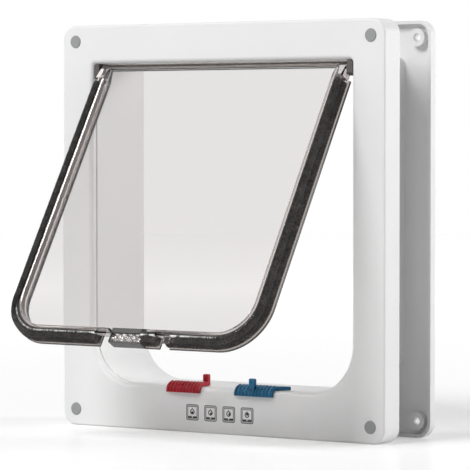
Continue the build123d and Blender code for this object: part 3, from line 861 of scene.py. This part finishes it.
def pile_tufts(route, sizes, name, draws):
    """Loose ends of the pile: thousands of slim three-sided tufts on its front and its tips."""
    points = []
    faces = []
    roots = tuft_roots(bead_front(route, sizes), sizes.tuft_pitch)
    columns = int(route.length / sizes.tuft_pitch)
    for column in range(columns):
        for root, out in roots:
            distance = (column + draws.uniform(*TUFT_SCATTER)) * route.length / columns
            first = len(points)
            points += tuft_points(route, sizes, root, out, distance, draws)
            faces.append((first + 2, first + 1, first))
            for corner in range(3):
                faces.append((first + corner, first + (corner + 1) % 3, first + 3))
    mesh = bpy.data.meshes.new(name)
    mesh.from_pydata(points, [], faces)
    tufts = bpy.data.objects.new(name, mesh)
    bpy.context.scene.collection.objects.link(tufts)
    edit_all(tufts)
    bpy.ops.mesh.normals_make_consistent(inside=False)
    close_edit()
    return tufts


class CATFLAP_OT_pile(bpy.types.Operator):
    """Grow the dark pile in the flap's channel"""

    bl_idname = "catflap.pile"
    bl_label = "Pile strips"

    def execute(self, context):
        sizes = context.scene.catflap_sizes
        colours = context.scene.catflap_colours
        draws = random.Random(sizes.tuft_seed)
        fibre = pile_fibre(colours, sizes)
        backing = pale_backing(colours)
        for part in ("left", "centre", "right"):
            node = "pile_strip_" + part
            route = PileRoute(node, sizes)
            core = pile_core(route, sizes, "pile_core_" + part)
            tufts = pile_tufts(route, sizes, "pile_tufts_" + part, draws)
            strip = join([core, tufts], "pile_" + part)
            place = strip.data.attributes.new("pile_place", "FLOAT_VECTOR", "POINT")
            for vertex in strip.data.vertices:
                place.data[vertex.index].vector = route.measure(vertex.co)
            finish_with(strip, fibre, backing)
            for face in strip.data.polygons:
                depths = [route.measure(strip.data.vertices[index].co)[1] for index in face.vertices]
                if max(depths) < sizes.pile_gap * 2:
                    face.material_index = 1
            swing_open(strip, sizes)
            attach(strip, "flap")
            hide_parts(node)
        return {"FINISHED"}


def crease(place, sizes):
    """How deep the foil is creased at a place, from 0 to 1: two rows of slanting folds that cross."""
    depth = 0.0
    for slant in (-1, 1):
        fold = (place.x * sizes.crease_slope + slant * place.z) / sizes.crease_pitch
        depth += max(0.0, 1.0 - abs(fold - round(fold)) * FOLD_STEEPNESS)
    return min(depth, 1.0)


class CATFLAP_OT_magnets(bpy.types.Operator):
    """Model the flap's magnet with its crumpled bright face, and finish the frame's magnet"""

    bl_idname = "catflap.magnets"
    bl_label = "Magnets"

    def execute(self, context):
        sizes = context.scene.catflap_sizes
        colours = context.scene.catflap_colours
        low, high = flap_box("flap_magnet", sizes)
        deselect()
        bpy.ops.mesh.primitive_cube_add(size=1.0, location=(low + high) / 2)
        bpy.context.object.scale = high - low
        magnet = named("magnet_bar")
        edit_all(magnet)
        bpy.ops.mesh.subdivide(number_cuts=FOIL_CUTS)
        close_edit()
        for vertex in magnet.data.vertices:
            if vertex.co.y < low.y + MERGE_DISTANCE:
                vertex.co.y += sizes.crease_depth * crease(vertex.co, sizes)
        finish_with(magnet, crumpled_foil(colours), ferrite("magnet_body_and_corner_shade", lightness=0.03))
        middle_z = (low.z + high.z) / 2
        for face in magnet.data.polygons:
            # The dark upper corners of the magnet's face are painted shade.
            on_front = face.center.y < low.y + sizes.crease_depth and face.normal.y < -FOIL_FACING
            at_end = abs(face.center.x) > high.x - sizes.magnet_corner_shade
            above = face.center.z > middle_z
            face.material_index = 0 if on_front and not (at_end and above) else 1
        swing_open(magnet, sizes)
        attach(magnet, "flap")
        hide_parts("flap_magnet")
        finish_node("frame_magnet", ferrite("frame_magnet_body", lightness=0.09))
        return {"FINISHED"}


class CATFLAP_OT_locks(bpy.types.Operator):
    """Round the edges of the two sliding locks and finish them"""

    bl_idname = "catflap.locks"
    bl_label = "Locks"

    def execute(self, context):
        sizes = context.scene.catflap_sizes
        colours = context.scene.catflap_colours
        # The locks' finish paints shade into the grooves between their ribs.
        finish = {"roughness": 0.30, "grain": 1900.0, "variation": 0.12, "shine": 0.25, "groove_shade_width": 0.0016}
        for colour in ("red", "blue"):
            node = colour + "_lock"
            lock = merged_copy(node, colour + "_slide_lock")
            round_edges(lock, sizes.edge_bevel * LOCK_ROUNDING)
            smooth(lock)
            finish_with(lock, moulded_plastic(colour + "_plastic", getattr(colours, colour), **finish))
            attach(lock, colour + "_slider")
            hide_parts(node)
        return {"FINISHED"}


# Printed symbols

PRINT_THICKNESS = 0.00003
FIELD_CORNER_STEPS = 4
DROP_SIDES = 24

# Nested fields of a symbol: name, share of its size, corner as a share of its width, and ink
FIELDS = (
    ("edge", 1.0, 0.14, "dark"),
    ("frame", 0.92, 0.12, "grey"),
    ("line", 0.74, 0.06, "dark"),
    ("field", 0.68, 0.05, "light"),
)

# The drop in it: radius as a share of the symbol's width, and how far up it lies as a share of its height
DROP_RADIUS = 0.18
DROP_LIFT = 0.04

# Round fields of the drop: name, radius and peak as shares of the drop's radius, and ink
DROPS = (
    ("drop", 1.0, 0.5, "dark"),
    ("hole", 0.60, 0.3, "light"),
    ("spot", 0.5, 0.0, "dark"),
)

# Where the spot lies in the drop of each symbol, as shares of the drop's radius
SPOTS = ((0.0, -0.3), (0.35, -0.3), (0.4, -0.1), (0.1, 0.25))

# The two bars below the drop: place and size as shares of the symbol's width and height
BAR_PLACE = (0.19, -0.29)
BAR_SIZE = (0.31, 0.10)


def print_place(place, layer):
    """Where a flat field of print is drawn: upright, before the frame's face by its layer."""
    y = FRONT_Y - PRINT_THICKNESS * layer
    return {"location": (place[0], y, place[1]), "rotation": (math.pi / 2, 0.0, 0.0)}


def thicken(field):
    """Give a flat field of print its thickness."""
    edit_all(field)
    move = {"value": (0.0, PRINT_THICKNESS, 0.0)}
    bpy.ops.mesh.extrude_region_move(TRANSFORM_OT_translate=move)
    close_edit()
    outward(field)
    return field


def print_field(name, place, width, height, corner, layer):
    """Thin field of print on the front face, rounded where it has a corner radius."""
    deselect()
    bpy.ops.mesh.primitive_plane_add(size=1.0, **print_place(place, layer))
    bpy.context.object.scale = (width, height, 1.0)
    field = named(name)
    if corner > 0:
        edit_all(field)
        bpy.ops.mesh.bevel(offset=corner, segments=FIELD_CORNER_STEPS, affect="VERTICES")
        close_edit()
    return thicken(field)


def print_drop(name, place, radius, peak, layer):
    """Thin round field of print with a peak at its top."""
    deselect()
    where = print_place(place, layer)
    bpy.ops.mesh.primitive_circle_add(vertices=DROP_SIDES, radius=radius, fill_type="NGON", **where)
    drop = named(name)
    top = max(drop.data.vertices, key=lambda vertex: vertex.co.z)
    top.co.z += peak
    return thicken(drop)


def symbol_fields(label, middle, spot, sizes):
    """The fields of one printed symbol, each with its ink."""
    x, z = middle
    width = sizes.symbol_width
    height = sizes.symbol_height
    ring = width * DROP_RADIUS
    drop_z = z + height * DROP_LIFT
    drop_layer = len(FIELDS) + 1
    fields = []
    for layer, (part, share, corner, ink) in enumerate(FIELDS, 1):
        name = label + "_" + part
        field = print_field(name, middle, width * share, height * share, width * corner, layer)
        fields.append((field, ink))
    for layer, (part, radius, peak, ink) in enumerate(DROPS, drop_layer):
        place = (x, drop_z)
        if part == "spot":
            place = (x + spot[0] * ring, drop_z + spot[1] * ring)
        fields.append((print_drop(label + "_" + part, place, ring * radius, ring * peak, layer), ink))
    for side in (-1, 1):
        name = "%s_bar%d" % (label, side)
        place = (x + side * width * BAR_PLACE[0], z + height * BAR_PLACE[1])
        bar = print_field(name, place, width * BAR_SIZE[0], height * BAR_SIZE[1], 0.0, drop_layer)
        fields.append((bar, "dark"))
    return fields


class CATFLAP_OT_symbols(bpy.types.Operator):
    """Print the row of four lock symbols on the front frame"""

    bl_idname = "catflap.symbols"
    bl_label = "Printed symbols"

    def execute(self, context):
        sizes = context.scene.catflap_sizes
        colours = context.scene.catflap_colours
        shades = {"dark": colours.print_dark, "grey": colours.print_grey, "light": colours.white}
        inks = {
            ink: moulded_plastic("print_" + ink, colour, roughness=0.5, grain=3000.0)
            for ink, colour in shades.items()
        }
        middle = (len(SPOTS) - 1) / 2
        z = FLOOR_Z + sizes.symbol_middle[1]
        for index, spot in enumerate(SPOTS):
            x = sizes.symbol_middle[0] + (index - middle) * sizes.symbol_pitch
            label = "symbol_%d" % (index + 1)
            fields = symbol_fields(label, (x, z), spot, sizes)
            for field, ink in fields:
                finish_with(field, inks[ink])
            symbol = join([field for field, ink in fields], label)
            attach(symbol, "front")
        return {"FINISHED"}


# Stage

# Floor: radius, sides, how far under the object it lies, colour and the roughness of its mirror
FLOOR_RADIUS = 4.0
FLOOR_SIDES = 96
FLOOR_DROP = 0.0001
FLOOR_COLOUR = (0.78, 0.78, 0.78, 1.0)
MIRROR_ROUGHNESS = 0.16

# What the floor adds for the eye far from the object, and over which distances it comes to that
FAR_GLOW = 0.82
GLOW_FROM = 0.25
GLOW_TO = 1.8

# Lamps: place and width
KEY_PLACE = (-0.6, -1.9, 1.9)
KEY_WIDTH = 1.4
RIM_PLACE = (1.4, 1.0, 0.4)
RIM_WIDTH = 0.8

# Camera: width of its sensor in millimetres, and how far it sees
SENSOR_WIDTH = 36.0
SIGHT = 100.0


def eye_rays(tree):
    """One for rays that the eye follows: straight, through clear plastic or off a shiny surface."""
    path = tree.nodes.new("ShaderNodeLightPath")
    seen = path.outputs["Is Camera Ray"]
    for kind in ("Is Transmission Ray", "Is Glossy Ray"):
        either = add_node(tree, "ShaderNodeMath", {0: seen, 1: path.outputs[kind]}, operation="MAXIMUM")
        seen = either.outputs["Value"]
    return seen


def white_world(stage):
    """World that is white to the eye and lights the object softly."""
    world = bpy.data.worlds.new("studio")
    bpy.context.scene.world = world
    world.use_nodes = True
    tree = world.node_tree
    light = tree.nodes["Background"]
    fill(tree, light, {"Color": (*WHITE, 1.0), "Strength": stage.sky_light})
    seen = add_node(tree, "ShaderNodeBackground", {"Color": (*WHITE, 1.0), "Strength": 1.0})
    values = {"Fac": eye_rays(tree), 1: light.outputs["Background"], 2: seen.outputs["Background"]}
    both = add_node(tree, "ShaderNodeMixShader", values)
    fill(tree, tree.nodes["World Output"], {"Surface": both.outputs["Shader"]})


def pale_floor(stage):
    """Floor that keeps shadows and is otherwise white to the eye."""
    deselect()
    place = (0.0, 0.0, FLOOR_Z - FLOOR_DROP)
    bpy.ops.mesh.primitive_circle_add(
        vertices=FLOOR_SIDES, radius=FLOOR_RADIUS, fill_type="NGON", location=place
    )
    floor = named("floor")
    material, tree, shader = blank_material("floor_white")
    fill(tree, shader, {"Base Color": FLOOR_COLOUR, "Roughness": 0.9, "Specular IOR Level": 0.0})
    spot = tree.nodes.new("ShaderNodeTexCoord").outputs["Object"]
    reach = add_node(tree, "ShaderNodeVectorMath", {0: spot}, operation="LENGTH").outputs["Value"]
    whiter = spread(tree, reach, stage.floor_glow, FAR_GLOW, from_low=GLOW_FROM, from_high=GLOW_TO)
    strength = add_node(tree, "ShaderNodeMath", {0: eye_rays(tree), 1: whiter}, operation="MULTIPLY")
    values = {"Color": (*WHITE, 1.0), "Strength": strength.outputs["Value"]}
    glow = add_node(tree, "ShaderNodeEmission", values)
    glowing = add_node(tree, "ShaderNodeAddShader", {0: shader.outputs["BSDF"], 1: glow.outputs["Emission"]})
    mirror = add_node(tree, "ShaderNodeBsdfGlossy", {"Roughness": MIRROR_ROUGHNESS})
    values = {"Fac": stage.floor_mirror, 1: glowing.outputs["Shader"], 2: mirror.outputs["BSDF"]}
    polished = add_node(tree, "ShaderNodeMixShader", values)
    fill(tree, tree.nodes["Material Output"], {"Surface": polished.outputs["Shader"]})
    finish_with(floor, material)


def soft_lamp(name, place, width, power):
    """Large soft lamp that faces the object."""
    lamp = bpy.data.lights.new(name, "AREA")
    lamp.shape = "DISK"
    lamp.size = width
    lamp.energy = power
    holder = bpy.data.objects.new(name, lamp)
    bpy.context.scene.collection.objects.link(holder)
    holder.location = place
    holder.rotation_euler = (-Vector(place)).to_track_quat("-Z", "Y").to_euler()


class CATFLAP_OT_stage(bpy.types.Operator):
    """Set the floor, the light and the camera"""

    bl_idname = "catflap.stage"
    bl_label = "Stage"

    def execute(self, context):
        stage = context.scene.catflap_stage
        context.scene.view_settings.view_transform = "Standard"
        white_world(stage)
        pale_floor(stage)
        soft_lamp("key_lamp", KEY_PLACE, KEY_WIDTH, stage.key_light)
        soft_lamp("rim_lamp", RIM_PLACE, RIM_WIDTH, stage.rim_light)
        camera = bpy.data.cameras.new("camera")
        camera.lens = stage.camera_lens
        camera.sensor_width = SENSOR_WIDTH
        camera.clip_end = SIGHT
        holder = bpy.data.objects.new("camera", camera)
        context.scene.collection.objects.link(holder)
        holder.location = stage.camera_place
        holder.rotation_euler = Vector(stage.camera_aim).to_track_quat("-Z", "Y").to_euler()
        context.scene.camera = holder
        return {"FINISHED"}


OPERATORS = (
    CATFLAP_OT_frames,
    CATFLAP_OT_hinge,
    CATFLAP_OT_flap,
    CATFLAP_OT_pile,
    CATFLAP_OT_magnets,
    CATFLAP_OT_locks,
    CATFLAP_OT_symbols,
    CATFLAP_OT_stage,
)


class CATFLAP_PT_panel(bpy.types.Panel):
    """Steps that finish the cat flap"""

    bl_idname = "CATFLAP_PT_panel"
    bl_label = "Cat Flap"
    bl_space_type = "VIEW_3D"
    bl_region_type = "UI"
    bl_category = "Cat Flap"

    def draw(self, context):
        for operator in OPERATORS:
            self.layout.operator(operator.bl_idname)


CLASSES = (CatFlapSizes, CatFlapColours, CatFlapStage, *OPERATORS, CATFLAP_PT_panel)


def register():
    """Add the classes and the scene's settings."""
    for item in CLASSES:
        bpy.utils.register_class(item)
    bpy.types.Scene.catflap_sizes = PointerProperty(type=CatFlapSizes)
    bpy.types.Scene.catflap_colours = PointerProperty(type=CatFlapColours)
    bpy.types.Scene.catflap_stage = PointerProperty(type=CatFlapStage)


def unregister():
    """Take the classes and the settings away again."""
    del bpy.types.Scene.catflap_stage
    del bpy.types.Scene.catflap_colours
    del bpy.types.Scene.catflap_sizes
    for item in reversed(CLASSES):
        bpy.utils.unregister_class(item)


def main():
    """Model and finish every piece and set the stage."""
    register()
    bpy.ops.catflap.frames()
    bpy.ops.catflap.hinge()
    bpy.ops.catflap.flap()
    bpy.ops.catflap.pile()
    bpy.ops.catflap.magnets()
    bpy.ops.catflap.locks()
    bpy.ops.catflap.symbols()
    bpy.ops.catflap.stage()


if __name__ == "__main__":
    main()
